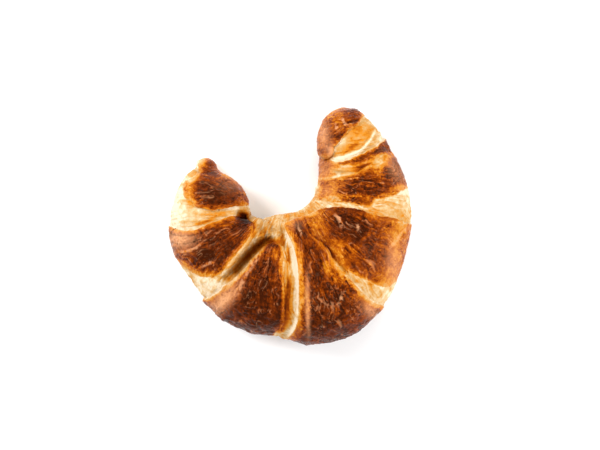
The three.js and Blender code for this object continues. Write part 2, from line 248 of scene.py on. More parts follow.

# Browner and paler places of the crust, partly its own tone and partly painted highlight where a facet faces
# a lamp: centre x, y, half lengths, turn in degrees, change of browning.
SPOTS = [
    (-46.6, 33, 2.4, 3.5, 0, -0.28), (-41.6, 32, 2, 4, 0, -0.02), (-42, 16, 6, 5, 0, 0.16),
    (-33, 16, 6, 5, 0, 0.04), (-52.4, 19.6, 3, 5, 10, -0.42), (-48, 26, 4, 2, 0, -0.1),
    (-41, 26.4, 4, 2.6, -5, 0.1), (-32, 24, 4, 2, -20, -0.1), (-24, 14, 2, 5, 15, -0.1),
    (-57.4, -7, 6.6, 4, 0, -0.22), (-47, -5.4, 4, 2, 0, 0.06), (-45, -14, 9, 5, 20, 0.16),
    (-33, -11, 6, 4, 40, 0.12), (-38, -4, 7, 3, 20, 0.08), (-32, 1.4, 4, 2, 20, -0.12),
    (-44, -24.4, 7, 1.4, 0, -0.1), (-28, 2, 3, 3, -30, 0.06), (-22.6, 0, 2.4, 4, 0, 0.12),
    (-53.5, -17.6, 5, 3, -40, -0.26), (-34, -36, 9, 4, 48, -0.34), (-32, -38, 5, 3, 50, -0.06),
    (-22, -22, 5, 1.6, 55, -0.12), (-17, -40, 7, 10, 0, 0.07), (-14, -50, 10, 4, 0, 0.1),
    (-6, -26, 1.8, 14, -2, -0.04), (-12, -12, 4, 2.6, 0, -0.06), (-7.8, -14.8, 2.4, 3.2, 0, -0.3),
    (7.6, -2.2, 2.2, 2.6, 0, 0.26), (45.6, 27.6, 3.2, 3, 0, -0.24), (6, -40, 0.9, 16, 0, -0.02),
    (-1, 0, 3, 2.2, 0, -0.08), (5, -4, 3, 5, 0, 0.04), (5, 1.4, 2.6, 2.4, 0, 0.2),
    (-7.6, -8.8, 2.4, 2, 0, 0.26), (39, 13.4, 3, 1.8, 0, -0.14), (23, -23, 3.4, 7, 30, -0.15),
    (18, -22.6, 2.2, 4, 15, -0.38), (22, -52, 12, 6, 0, 0.12), (11, -16, 2, 3, 0, -0.12),
    (13.8, -22, 1.5, 4.5, 0, 0.24), (40, -42, 7, 3.4, -45, -0.18), (13, -38, 3, 9, 0, 0.02),
    (28, -34, 4, 3, 0, 0.06), (24, -38, 5, 4, 0, 0.08), (33, -36.4, 3, 2.4, -45, -0.12),
    (-7.8, -52, 2.4, 3, 0, 0.14), (20, -5.2, 3, 2.4, 0, 0.14), (33, -46, 6, 4, 0, -0.04),
    (29, 0, 9, 6, -20, 0.4), (38, -13, 7, 6, 0, 0.14), (13, 0, 6, 6, 20, -0.18), (23, -13, 4, 6, 25, -0.17),
    (54, -12, 3.6, 12, 0, -0.16), (38, -26, 6, 2, -20, 0.06), (48.5, -28, 3.4, 3, -10, -0.24),
    (42.5, -20.6, 3.4, 3, 0, 0.14), (49, -22.4, 2.4, 3, 0, -0.14), (14, -6.4, 2, 3, 30, -0.08),
    (-42, -17.6, 3, 2, 0, 0.14), (45, -1, 3, 5, 0, 0.02), (58, -2, 4, 6, 0, -0.14),
    (12, 6.5, 6, 1.6, 25, -0.04), (35, -22, 6, 3, -30, -0.02), (19, 4, 4, 4, 0, -0.04),
    (40, 21, 11, 5, 15, 0.11), (24, 20, 6, 4, 0, -0.12), (16, 18, 5, 6, 0, -0.19),
    (25, 14.6, 7, 1.8, 0, -0.2), (24, 22, 4, 3, 0, -0.1), (-29.6, 10.8, 3, 1.4, 0, 0.12),
    (17, -39.5, 2.4, 3, 0, 0.1), (-42, -39, 3, 2, 40, -0.1), (54, 30, 4, 9, 30, 0.02),
    (56, 21, 5, 2, 30, -0.16), (51, 27, 4, 4, 0, -0.06), (30, 16.4, 3, 2.4, 0, 0.18),
    (42, 23, 3, 2, 0, -0.12), (23, 16.6, 3, 2, 0, -0.12), (30, 32.5, 5, 1.5, 10, -0.06),
    (48, 39, 4, 2, 30, 0.16), (32.6, 26.6, 4, 2.4, 10, 0.14), (17, 29, 5, 3, 0, -0.04),
    (31, 57, 4, 5, 0, 0.12), (32.6, 54, 2.4, 2.4, 0, 0.14), (21, 58.5, 5, 2, 30, -0.24),
    (17, 48, 2.5, 5, 0, -0.08), (24, 53, 5, 4, 0, -0.12), (22, 47, 4, 5, 20, 0.06), (20, 50, 3, 4, 0, 0.05),
    (26, 47, 3, 2, 40, 0.08), (27, 61, 3, 2, 0, -0.02), (18, 14, 8, 2, 0, -0.06), (-46, -21, 6, 3, 0, 0.06),
    (1.6, -6.6, 1.8, 4, 0, -0.16), (-5, -38, 1.6, 10, 0, 0.1), (38, 36, 8, 2, 20, 0.05),
    (18, 36, 4, 1.4, 0, -0.1), (17.6, 39, 4, 3, 0, -0.08), (16, 39.6, 2.2, 2, 0, 0.14),
]

# Golden and browner places of the bare dough, partly its own colour and partly painted shade in the bay
# and beside the crevices: the same columns as the spots.
TINTS = [
    (-2.4, -28, 2.4, 22, -3, 0.28), (-1.4, -34, 1.8, 6, 0, 0.22), (-2, -46, 3, 4, 0, 0.18),
    (-3.4, -7, 2.4, 4, 0, 0.12), (-6, 0, 2, 3.4, 0, 0.1), (-9, -1.6, 2, 2.4, 0, 0.1),
    (-11, -6, 2.4, 1.4, 10, -0.16), (31.5, 45.5, 5, 4, 35, 0.22), (34, 51.4, 2.6, 3, 0, 0.22),
    (26, 44.4, 2, 1.6, 40, -0.16), (41, 50, 4, 7, 10, 0.17), (28, 39, 6, 2.4, 10, 0.22),
    (-12, -3, 6, 5, 0, 0.16), (-30.5, -25, 5, 2, 30, 0.24), (-36, -26.5, 5, 1.4, -10, 0.22),
    (-24, -11, 14, 1.6, 48, 0.06), (54, 11, 9, 5, 0, 0.16), (40, 6.9, 4, 0.8, -30, 0.12),
    (-24, 9, 2, 2, 0, 0.2), (-43, 3.4, 8, 1.8, 12, 0.22), (-40, 6.6, 12, 1.6, 2, 0.22),
    (-51, 12.6, 3, 3, -45, 0.34), (41, -38.4, 4, 3, -45, 0.12), (37.6, 30.2, 3.6, 2.6, 20, 0.25),
    (31, 28.6, 5, 1.2, 0, 0.14), (34, -27, 7, 2, -38, 0.12), (-51.5, -30, 1.4, 7, 0, 0.26),
    (-20.4, -1.6, 1.6, 6, -25, 0.14), (10, 9.8, 4, 1.2, 30, 0.14), (20, 12, 10, 1.4, 0, 0.12),
    (44.5, 33, 5, 1.4, 45, 0.2), (-49, 27, 2, 2, 0, 0.16), (-61, 4.6, 3, 5, 0, -0.16),
    (-45, -35, 4, 1, 30, 0.04), (25, 31, 4, 2, 0, 0.2), (0, 6, 5, 1, 10, 0.14), (4, 8, 8, 3, 20, 0.05),
    (-15.5, 2, 3, 3, 0, -0.1), (46.5, -37, 3, 2, -45, 0.04), (44, 30, 3, 2, 0, 0.14),
    (-51, 29, 3, 3, 0, 0.12), (40, -32, 10, 5, -38, 0.14), (32, 9.6, 14, 2.4, -5, 0.13),
    (-24, -11, 16, 3, 48, 0.05), (-12, -2, 8, 7, 0, 0.1), (-1, -40, 3, 12, 0, 0.18),
    (-45, -33, 9, 5, 0, 0.03), (40, 33, 8, 4, 20, 0.06), (-8, 3, 8, 3, 0, 0.05),
    (32.5, 41.5, 6, 1.3, 32, 0.18), (20.5, -17.2, 6.5, 2.4, -48, 0.28), (24.6, -22.4, 3.8, 2.6, -45, 0.58),
    (36, 30.6, 5.4, 3, 14, 0.36), (51.6, 33.6, 3, 4.4, 10, 0.66), (44.8, 33.4, 4.4, 1.6, 38, -0.2),
    (41.5, 35.6, 3.4, 1.4, 20, 0.48), (-4.6, -24, 1.6, 5, 0, 0.16), (32.8, 38.4, 3, 1.4, 20, 0.12),
    (38, 54, 3, 2.4, 60, 0.1), (42, 46, 2, 4, 0, 0.08), (43, 7.4, 4.4, 1.8, -25, 0.26),
    (10, 7, 3, 1.6, 30, 0.24), (5, 4.6, 2.4, 1.6, 0, 0.28), (60, 3, 4, 2, -10, 0.18),
    (-4.7, -52, 2.4, 3, 0, 0.2), (-7.5, -8.2, 3, 1.8, 0, 0.44), (40.5, 48.5, 4.5, 1.4, 62, 0.16),
    (-52, 7, 7, 4, 0, -0.03), (-2, -52, 2.6, 5, 0, 0.1), (1.8, -43, 1.1, 6, 0, -0.16),
    (-1.8, -6.6, 1.2, 3.4, 10, -0.4), (-4.6, -41.4, 1.8, 5.4, 0, 0.8), (-5.6, -52.6, 2.4, 3, 0, 0.24),
    (-20.4, -1, 1.8, 3, 0, 0.5), (-1.6, -54.8, 2, 2, 0, -0.18),
]

# Browner and paler strokes on crust and dough alike, partly their own colour, partly painted shade in
# crevices and hollows and painted highlights along crests: half width, then a line of x, y, change of
# browning.
STROKES = [
    # Painted shade down the crevice under the left shoulder's lip.
    path(2.2, (-7.7, -7.2, 0.1), (-12.7, -8.1, 0.3), (-17.8, -11.4, 0.4), (-22.9, -16.5, 0.38),
        (-26.8, -21.2, 0.2), (-31, -24.4, 0)),
    path(1, (-10.6, -9.8, -0.04), (-14.2, -12.6, -0.14), (-18.4, -16.8, -0.18), (-23.4, -22.8, -0.18),
        (-27.8, -27.2, -0.14), (-33, -30.8, 0)),
    # Painted shade in the hollow by the left cap.
    path(2.4, (-28.6, 6, 0.1), (-25.8, 5, 0.6), (-23, 4.2, 0.9), (-19, 4.2, 0.4)),
    path(0.8, (-50, 0.2, 0), (-47, 1.4, 0.2), (-43, 2.6, 0.24), (-39, 4.4, 0.16), (-35, 6.6, 0)),
    path(0.7, (-64, -4, 0.2), (-57, -5.2, 0.26), (-51, -5, 0.22), (-46, -3.4, 0)),
    path(0.7, (-64, -8.4, 0.16), (-57, -9.4, 0.2), (-52, -8.8, 0.16), (-47, -7, 0)),
    # Painted highlights along the left horn's crests, in this stroke and the next.
    path(0.8, (-62, -13.8, -0.1), (-55, -13.3, -0.22), (-50, -11.8, -0.26), (-46.5, -9.4, -0.26),
        (-41, -8, -0.1)),
    path(0.9, (-48, -22, -0.1), (-44, -20.4, -0.24), (-40.5, -18.8, -0.2), (-37, -20, 0)),
    path(1.2, (-3.2, -2, 0), (0.5, -9, -0.08), (2.2, -20, -0.1), (3.3, -30, -0.12), (3.8, -40, -0.12),
        (2.8, -50, -0.12), (-1.5, -57, -0.06)),
    path(1.3, (1.8, -5, 0), (4.6, -12, -0.12), (5.7, -20, -0.18), (6.3, -28, -0.18), (6.8, -36, -0.18),
        (6.8, -45, -0.18), (5.8, -52, -0.17), (3.6, -59, -0.1)),
    path(1.4, (7.4, -22, 0), (8.4, -30, -0.29), (8.8, -38, -0.35), (8.6, -49, -0.3), (7.8, -56, -0.06),
        (7.4, -62, 0)),
    path(0.8, (9.8, -28, 0), (10.5, -38, 0.16), (10.4, -50, 0.14), (9.2, -60, 0)),
    path(2.4, (24, -22, 0), (29, -27.6, -0.05), (34, -33, -0.08), (40, -38.5, -0.08), (47, -42.5, -0.04)),
    # Painted shade where the crown's lip meets the right shoulder.
    path(1.7, (7, 2, 0), (9.4, -3, 0.16), (13, -7, 0.24), (18, -11, 0.24), (21.4, -16.2, 0.2),
        (24.4, -20.6, 0)),
    path(0.8, (12, 6.8, 0), (16, 8.1, 0.2), (20, 8.8, 0.24), (26, 8.6, 0.22), (32, 8.4, 0.22),
        (37, 7.2, 0.16), (42, 5, 0)),
    path(0.8, (43, 5.5, 0), (47, 4.4, 0.3), (53, 3.6, 0.24), (58, 1.8, 0.1)),
    # Painted highlight along the right shoulder's crease, and painted shade below it in the next stroke.
    path(0.8, (30, -13.4, 0), (33, -10.8, -0.16), (35.8, -7.6, -0.1), (39, -5, -0.18), (41, -1.6, -0.12),
        (43, 1, 0)),
    path(1, (29, -11, 0), (32, -8.4, 0.14), (36, -4.4, 0.14), (40, -0.2, 0.1)),
    # Painted highlight on a flake of the right shoulder.
    path(0.8, (21.6, 7.4, 0), (24.3, 4, -0.3), (26.3, 1, -0.26), (23.8, -2, 0)),
    path(0.8, (45, -6, 0), (48.2, -12, 0.1), (48.6, -20, 0.1), (47, -28, 0)),
    # Painted highlight on the right shoulder's right flank.
    path(1, (61, 0, 0), (58, -3, -0.14), (53, -9, -0.16), (49, -14, 0)),
    path(0.7, (22, 34, -0.1), (29.3, 36.2, -0.24), (36.4, 39.5, -0.24), (41.6, 45.3, -0.24),
        (44.4, 51.6, -0.1)),
    path(0.8, (22, 41.6, 0), (25, 44, 0.18), (28.5, 47.6, 0.16), (32, 50, 0)),
    # Painted highlights along ridges of the crown and of the left shoulder, in this stroke and the next.
    path(1, (27.5, -32.5, 0), (25.8, -37, -0.2), (23.4, -42, -0.2), (21.6, -47, 0)),
    path(1, (-12.5, -10.5, 0), (-18.2, -17, -0.1), (-22.4, -24, -0.12), (-26.6, -32, -0.1), (-28, -40, 0)),
]

# Painted shade in creases, hollows and the bay: half width, then a line of x, y, darkness.
PAINTED_SHADE_LINES = [
    path(2.5, (-6.3, -7.7, 0.2), (-9.3, -8.2, 0.5), (-12.8, -8.9, 0.8), (-17.4, -11.9, 0.85),
        (-22.5, -17, 0.85), (-26.2, -21.6, 0.5), (-29.6, -24.6, 0.12), (-35.8, -28.1, 0)),
    path(2.4, (-28.6, 6.4, 0.3), (-25.8, 5.4, 1.3), (-23, 4.4, 1.9), (-19.2, 3.8, 1.2)),
    path(2.2, (-17, 1, 0.2), (-15, -2, 0.4), (-12.5, -5.5, 0.3), (-9, -7, 0.2)),
    path(4.5, (-20, 3, 0.16), (-14, -0.5, 0.3), (-8, -2, 0.26), (-4, -1, 0.14)),
    path(1.3, (-5, 0, 0.1), (-4.4, -4, 0.4), (-3.8, -9, 0.5), (-2.6, -13, 0.2)),
    path(1.8, (10.5, 0, 0.1), (13.6, -4.4, 0.4), (18.6, -8.8, 0.5), (21.4, -13.6, 0.5), (25.4, -18.8, 0.2),
        (29, -23.6, 0)),
    path(2, (-2.4, -22, 0), (-1.6, -29, 0.36), (-1.4, -36, 0.42), (-1.8, -43, 0.2), (-3, -50, 0.1)),
    path(1.8, (-38, -27, 0.1), (-34, -26.4, 0.3), (-30, -25.4, 0.4), (-26, -23, 0.3)),
    path(1, (12.6, 39, 0.1), (14.6, 35.8, 0.4), (18.5, 34, 0.5), (21.9, 36, 0.4), (23, 39.6, 0.1)),
    path(1.2, (-50.6, 30.4, 0.2), (-48.4, 28.2, 0.3), (-45, 27.6, 0.2)),
]

# Painted highlights: smooth places where a pale painted sheen stands for the lamps' light on the glaze: the
# same columns as the spots, with its strength last, and bands of it: half width, then a line of x, y,
# strength.
PAINTED_SHEEN_SPOTS = [
    (-57.4, -6.9, 5.6, 3.6, 0, 0.78), (-34.8, -38.2, 7.4, 2.8, 48, 0.88), (53, -19, 3.4, 9, 0, 0.34),
    (41, -43.4, 5, 2.6, -45, 0.4), (17, 47.5, 2.4, 5.5, 0, 0.5), (17, 29, 5, 4, 0, 0.3),
    (54, 29, 3, 7, 30, 0.25), (20.6, 38.6, 1.7, 3, 0, 0.6), (18.5, 18, 4, 3, 20, 0.2), (2, 1, 3, 2, 0, 0.2),
    (-32, 21, 6, 3, -20, 0.1), (8.2, -33, 0.9, 7, -3, 0.36), (8.8, -44, 0.9, 7, 0, 0.36),
    (8.6, -50, 0.9, 5, 5, 0.22),
]
PAINTED_SHEEN_LINES = [
    path(1, (26.6, 57, 0), (26.8, 55, 0.5), (28.2, 53, 0.5), (29.8, 51.4, 0)),
    path(1, (21.6, 55, 0), (23.4, 52.4, 0.5), (23.8, 50, 0.5), (25, 47.6, 0)),
    path(0.8, (3.6, 0.6, 0), (4.2, -1.4, 0.5), (5.4, -3, 0.5), (5.2, -6, 0)),
    path(1.3, (27.2, -33, 0), (26, -36.5, 0.55), (24.6, -39.6, 0.3), (23.4, -42, 0)),
    path(1.1, (21.8, 6.6, 0), (23.8, 4.4, 0.7), (24.6, 2.2, 0.6), (25.6, 0.8, 0.3), (24.6, -2.4, 0)),
    path(0.9, (33.4, 2, 0), (34.4, -0.5, 0.5), (34.2, -3.4, 0)),
    path(0.9, (-60, -13.4, 0.1), (-54, -13, 0.4), (-49, -11.4, 0.5), (-45.5, -9, 0.2)),
    path(0.9, (-48, -22, 0), (-44, -20.4, 0.4), (-40.5, -18.8, 0.3), (-37, -20, 0)),
    path(1.4, (-15, -14, 0), (-19.4, -19.6, 0.4), (-24, -27, 0.45), (-28, -36, 0.3)),
    path(1, (61, 0, 0), (58, -3, 0.4), (53, -9, 0.4), (49, -14, 0)),
]

# Places where the bare dough is flakier: the same columns as the spots.
FLAKY = [
    (-2, -32, 4, 22, 0, 1.6), (-12, -3, 7, 6, 0, 1), (32, 46, 7, 6, 30, 0.1), (52, 12, 10, 6, 0, 1),
    (-50, 26, 5, 5, 0, 0.8), (-32, -25, 7, 3, 30, 1), (41, 32, 8, 5, 30, 1.2), (30, 10, 14, 3, 0, 1),
    (40, -30, 10, 5, -38, 0.7), (28, 37, 8, 3, 20, 0.8),
]

# Places where the crust is more crinkled: the same columns as the spots.
CRINKLED = [
    (36, 18, 14, 6, 10, 0.7), (22, -36, 10, 13, 0, 0.5), (-16, -30, 8, 12, 0, 0.3), (24, 54, 8, 8, 0, 0.6),
    (-40, 18, 9, 7, 0, 0.5), (-46, -19, 8, 5, 0, 0.5), (28, 2, 9, 5, 0, 0.4),
]

# Browning to colour (red, green, blue of 255, as on a screen).
BROWNING = [
    (0.00, (221, 203, 175)),
    (0.10, (205, 176, 134)),
    (0.22, (189, 143, 81)),
    (0.36, (191, 119, 26)),
    (0.48, (164, 84, 9)),
    (0.62, (128, 54, 4)),
    (0.78, (90, 33, 4)),
    (0.90, (69, 25, 4)),
    (1.00, (54, 19, 4)),
]
# Colour of the painted sheen, a painted highlight.
PAINTED_SHEEN_COLOUR = (216, 156, 110)
PAINTED_SHADE_TINT = (0.40, 0.28, 0.14, 1.0)  # share of light left where the painted shade in creases is deepest
CRUST_ROUGHNESS = 0.26
DOUGH_ROUGHNESS = 0.64

# Square lamps: name, place and side in metres, watts, and whether the crust mirrors them.
LAMPS = (
    ("key_left", (-0.88, 0.5, 0.8), 0.55, 16.0, True),
    ("fill_right", (0.95, -0.1, 0.7), 0.6, 11.0, True),
    ("soft_front", (0.1, -1.0, 0.7), 1.0, 6.5, False),
    ("soft_back", (0.1, 0.95, 0.9), 1.0, 8.0, False),
)


def smooth(value, low, high):
    """0 below low, 1 above high, and smooth between."""
    t = np.clip((value - low) / (high - low), 0, 1)
    return t * t * (3 - 2 * t)


def spline(points, places, closed=False):
    """Catmull-Rom curve through the points, at places counted in points."""
    points = np.asarray(points, float)
    if closed:
        ring = np.vstack([points[-1:], points, points[:2]])
    else:
        ring = np.vstack([2 * points[:1] - points[1:2], points, 2 * points[-1:] - points[-2:-1]])
    last = len(ring) - 4
    span = np.clip(np.floor(places).astype(int), 0, last)
    t = (places - span)[..., None]
    a, b, c, d = (ring[span + k] for k in range(4))
    square = (2 * a - 5 * b + 4 * c - d) * t ** 2
    cube = (3 * b - a - 3 * c + d) * t ** 3
    return 0.5 * (2 * b + (c - a) * t + square + cube)


def along_line(points, place):
    """The third number of a line's points, at places from 0 to 1 along it."""
    return np.interp(place, np.linspace(0, 1, len(points)), [p[2] for p in points])


def fine_line(points, closed=False, per_span=5):
    """The smooth curve through the points as a polyline."""
    points = [p[:2] for p in points]
    spans = len(points) if closed else len(points) - 1
    places = np.linspace(0, spans, spans * per_span + 1)
    line = spline(points, places, closed)
    return line[:-1] if closed else line


def line_field(x, y, line, closed=False):
    """Distance from a polyline, positive to its right or inside it, and the place along it from 0 to 1."""
    ends = np.roll(line, -1, 0)
    count = len(line) if closed else len(line) - 1
    best = np.full(x.shape, FAR_AWAY)
    side = np.ones(x.shape)
    place = np.zeros(x.shape)
    inside = np.zeros(x.shape, bool)
    for i in range(count):
        ax, ay = line[i]
        dx, dy = ends[i] - line[i]
        px, py = x - ax, y - ay
        share = np.clip((px * dx + py * dy) / (dx * dx + dy * dy + NEARLY_ZERO), 0, 1)
        gap = (px - share * dx) ** 2 + (py - share * dy) ** 2
        nearer = gap < best - NEARLY_ZERO
        best = np.where(nearer, gap, best)
        side = np.where(nearer, np.sign(px * dy - py * dx), side)
        place = np.where(nearer, (i + share) / count, place)
        if closed and dy != 0:
            crosses = (ay > y) != (ay + dy > y)
            inside ^= crosses & (px < dx * py / dy)
    if closed:
        side = np.where(inside, 1, -1)
    return np.sqrt(best) * np.where(side == 0, 1, side), place


class Noise:
    """Smooth value noise on a wrapped lattice of seeded random numbers, from -1 to 1."""

    SIZE = 64  # lattice steps before the noise repeats
    FINER = 2.03  # each layer is finer than the one before by this factor
    FAINTER = 0.5  # and fainter by this one
    SHIFTS = (7.1, 3.7, 5.3)  # between layers, so that their lattices don't line up

    def __init__(self, seed):
        self.table = np.random.RandomState(seed).uniform(-1, 1, (self.SIZE,) * 3)

    def __call__(self, x, y, z):
        cells, shares = [], []
        for value in (x, y, z):
            floor = np.floor(value)
            share = value - floor
            cells.append(floor.astype(int))
            shares.append(share * share * share * (share * (share * 6 - 15) + 10))
        total = 0
        for corner in range(8):
            weight = 1
            index = []
            for axis in range(3):
                step = corner >> axis & 1
                weight = weight * (shares[axis] if step else 1 - shares[axis])
                index.append((cells[axis] + step) % self.SIZE)
            total = total + weight * self.table[tuple(index)]
        return total

    def layers(self, x, y, z, count):
        """Sum of finer and finer noise."""
        total, size, norm = 0, 1.0, 0
        for k in range(count):
            scale = self.FINER ** k
            total = total + size * self(*(a * scale + shift * k for a, shift in zip((x, y, z), self.SHIFTS)))
            norm += size
            size *= self.FAINTER
        return total / norm

    def lumps(self, point, size, count, shift=0):
        """Layered noise in space, with lumps of the given size in millimetres."""
        return self.layers(point[..., 0] / size + shift, point[..., 1] / size, point[..., 2] / size, count)


def blob(x, y, spot):
    """Gaussian spot in plan: centre x, y, half lengths, turn."""
    cx, cy, long, wide, turn = spot[:5]
    c, s = math.cos(math.radians(turn)), math.sin(math.radians(turn))
    u = ((x - cx) * c + (y - cy) * s) / long
    v = ((y - cy) * c - (x - cx) * s) / wide
    return np.exp(-(u * u + v * v) * SPOT_FALL)


# ---------- the plain roll
def line_length(line):
    """Length of a polyline up to each of its points."""
    return np.concatenate([[0], np.cumsum(np.hypot(*np.diff(line, axis=0).T))])


def even_places():
    """Station places of the rings, and lengths along the roll up to them."""
    dense = np.linspace(0, len(STATIONS) - 1, LENGTH_STEPS)
    rows = spline(STATIONS, dense)
    inner, outer = rows[:, :2], rows[:, 2:4]
    spacing = line_length((1 - SPACING_LINE) * inner + SPACING_LINE * outer)
    middle = line_length(0.5 * (inner + outer))
    ring = np.linspace(0, 1, RINGS + 1)
    ring = ring - CROWDING * np.sin(2 * math.pi * ring) / (2 * math.pi)
    places = np.interp(ring * spacing[-1], spacing, dense)
    return places, np.interp(places, dense, middle), middle[-1], np.interp(places, dense, spacing)


def rounded_end(distance, length):
    """0 at a tip, rising as a quarter circle to 1."""
    t = np.clip(distance / length, 0, 1)
    return np.sqrt(np.maximum(0, 1 - (1 - t) ** 2))


def section(half, crown, cap, angle):
    """Side, height and unrolled side of a section's points, for rings by row."""
    waist = crown * WAIST
    sine, cosine = np.sin(angle), np.cos(angle)
    below = sine < 0
    power = np.where(below, 2 / BELLY_POWER, 1)
    side = -half * np.sign(cosine) * np.abs(cosine) ** power
    reach = np.where(below, waist * BELLY_DEPTH, crown - waist)
    height = np.maximum(0, waist + reach * cap * np.sign(sine) * np.abs(sine) ** power)
    down = np.where(below, waist - height, 0)
    wrap = np.where(cosine < 0, down * OUTER_WRAP, -down * INNER_WRAP)
    unrolled = np.where(below, -half * np.sign(cosine), side) + wrap
    return side, height, unrolled


def even_angles(half, crown, cap):
    """Angles of even points round each section, half as many underneath, and how far round they lie."""
    least = 1e-6  # keeps every step above 0 at the tips, where a section is only a point
    dense = np.linspace(-0.5 * math.pi, 1.5 * math.pi, SECTION_STEPS)[None, :]
    side, height, _ = section(half + least, crown, cap, dense)
    steps = np.hypot(np.diff(side, axis=1), np.diff(height, axis=1))
    steps = steps * np.where(height[:, 1:] < FLAT_HEIGHT, 0.5, 1) + least
    girth = np.concatenate([np.zeros((len(steps), 1)), np.cumsum(steps, 1)], 1)
    reached = np.arange(SPOKES) / SPOKES * girth[:, -1:]
    angle = np.stack([np.interp(wanted, row, dense[0]) for wanted, row in zip(reached, girth)])
    return angle, reached


def plain_roll():
    """Points on the roll, their places in plan, along it and round it, and a fade at the tips."""
    places, along, total, spacing = even_places()
    rows = spline(STATIONS, places)
    cap = (rounded_end(along, LEFT_TIP) * rounded_end(total - along, RIGHT_TIP))[:, None]
    inner, outer = rows[:, :2], rows[:, 2:4]
    width = np.hypot(*(outer - inner).T)[:, None]
    across = (outer - inner) / width
    middle = (inner + outer) / 2
    half = width / 2 * cap
    crown = rows[:, 4:5]
    angle, roll_v = even_angles(half, crown, cap)
    side, height, unrolled = section(half, crown, cap, angle)
    point = [middle[:, k:k + 1] + across[:, k:k + 1] * side for k in range(2)]
    plan = [middle[:, k:k + 1] + across[:, k:k + 1] * unrolled for k in range(2)]
    roll_u = np.repeat(spacing[:, None], SPOKES, 1)
    tips = smooth(along, 0, TIP_FADE) * smooth(total - along, 0, TIP_FADE)
    return np.stack(point + [height], -1), *plan, roll_u, roll_v, tips[:, None]


def steps_around(grid):
    """Steps of a grid's values round the roll, from neighbours."""
    return (np.roll(grid, -1, 1) - np.roll(grid, 1, 1)) / 2


def normals(point):
    """Unit normals of a grid of points."""
    normal = np.cross(steps_around(point), np.gradient(point, axis=0))
    return normal / np.maximum(np.linalg.norm(normal, axis=-1, keepdims=True), NEARLY_ZERO)


def surface_gradient(point, field):
    """Gradient of a field on the surface, as 3-D vectors per millimetre."""
    along, around = np.gradient(point, axis=0), steps_around(point)
    f_along, f_around = np.gradient(field, axis=0), steps_around(field)
    aa = (along * along).sum(-1)
    rr = (around * around).sum(-1)
    ar = (along * around).sum(-1)
    det = np.maximum(aa * rr - ar * ar, NEARLY_ZERO)
    ka = (rr * f_along - ar * f_around) / det
    kr = (aa * f_around - ar * f_along) / det
    return ka[..., None] * along + kr[..., None] * around


# ---------- relief
def ragged(point, noise):
    """Wavering of a torn edge, in millimetres."""
    return 0.5 * noise.lumps(point, 5, 2) + 0.4 * noise.lumps(point, 1.5, 2)


def lip_relief(point, x, y, waver):
    """Height over the plain roll, and sideways shift, of all the lips."""
    height = np.zeros(x.shape)
    shift = np.zeros(point.shape)
    crown_distance, _ = line_field(x, y, fine_line(LIPS["crown"]["points"]))
    bare = 1 - smooth(crown_distance, *CROWN_COVER)
    for name, lip in LIPS.items():
        d, place = line_field(x, y, fine_line(lip["points"]))
        rise = along_line(lip["points"], place)
        if name != "crown":
            rise = rise * bare
        d = d + lip.get("torn", 1) * waver
        slope = surface_gradient(point, d)
        steepness = np.clip(np.linalg.norm(slope, axis=-1), *STEEPNESS)
        d = d / steepness
        w = np.interp(place, [0, 1], lip["wall"]) / 2
        height += rise * (smooth(d, -w, w) - smooth(d, -lip["below"], lip["above"]))
        lean = np.exp(-((d - w) / w) ** 2) - UNDERCUT * np.exp(-((d + w) / w) ** 2)
        shift -= (lip["over"] * np.minimum(rise / FULL_LEAN, 1) * lean / steepness)[..., None] * slope
    return height, shift


def along_lines(x, y, table, profile):
    """Sum over a table of lines: the amount along each line, times the profile across it."""
    total = np.zeros(x.shape)
    for entry in table:
        line = fine_line(entry["points"])
        margin = 3 * entry["reach"]
        low, high = line.min(0) - margin, line.max(0) + margin
        near = (x > low[0]) & (x < high[0]) & (y > low[1]) & (y < high[1])
        d, place = line_field(x[near], y[near], line)
        ends = smooth(place, 0, END_FADE) * (1 - smooth(place, 1 - END_FADE, 1))
        total[near] += along_line(entry["points"], place) * profile(d, entry) * ends
    return total


def fold_profile(d, fold):
    """A crest, which is rounded where sharp is above 0."""
    gap = np.sqrt(d * d + fold["sharp"] ** 2) - fold["sharp"]
    return np.exp(-gap / (fold["reach"] / 2))


def stroke_profile(d, stroke):
    """A soft brush stroke."""
    return np.exp(-(d / stroke["reach"]) ** 2)


def flat_profile(d, painted_sheen):
    """A band with an even middle."""
    return 1 - smooth(np.abs(d), 0.45 * painted_sheen["reach"], painted_sheen["reach"])


def spots_field(x, y, table):
    """Sum of a table's spots."""
    total = np.zeros(x.shape)
    for spot in table:
        total += spot[5] * blob(x, y, spot)
    return total


def overlapping(value):
    """Slow rises and sudden drops from 0 to 1, once a unit, like overlapping flakes."""
    share = value - np.floor(value)
    return share * (1 - smooth(share, 0.86, 1))


def crest(value, width):
    """1 where the value is 0, falling to 0 at the width."""
    return 1 - np.clip(np.abs(value) / width, 0, 1)


def crinkles(point, noise):
    """Short winding ridges, in patches, from about -0.5 to 0.5."""
    x, y, z = (point[..., k] for k in range(3))
    bend, course, size = 1.6, 2.6, 1.5
    bend_x = x + bend * noise(x / course + 61, y / course, z / course)
    bend_y = y + bend * noise(x / course, y / course + 61, z / course)
    ridge = crest(noise(bend_x / size + 3, bend_y / size, z / size), 0.5) - 0.45
    return ridge * smooth(noise.lumps(point, 5, 2, 71), -0.25, 0.3)


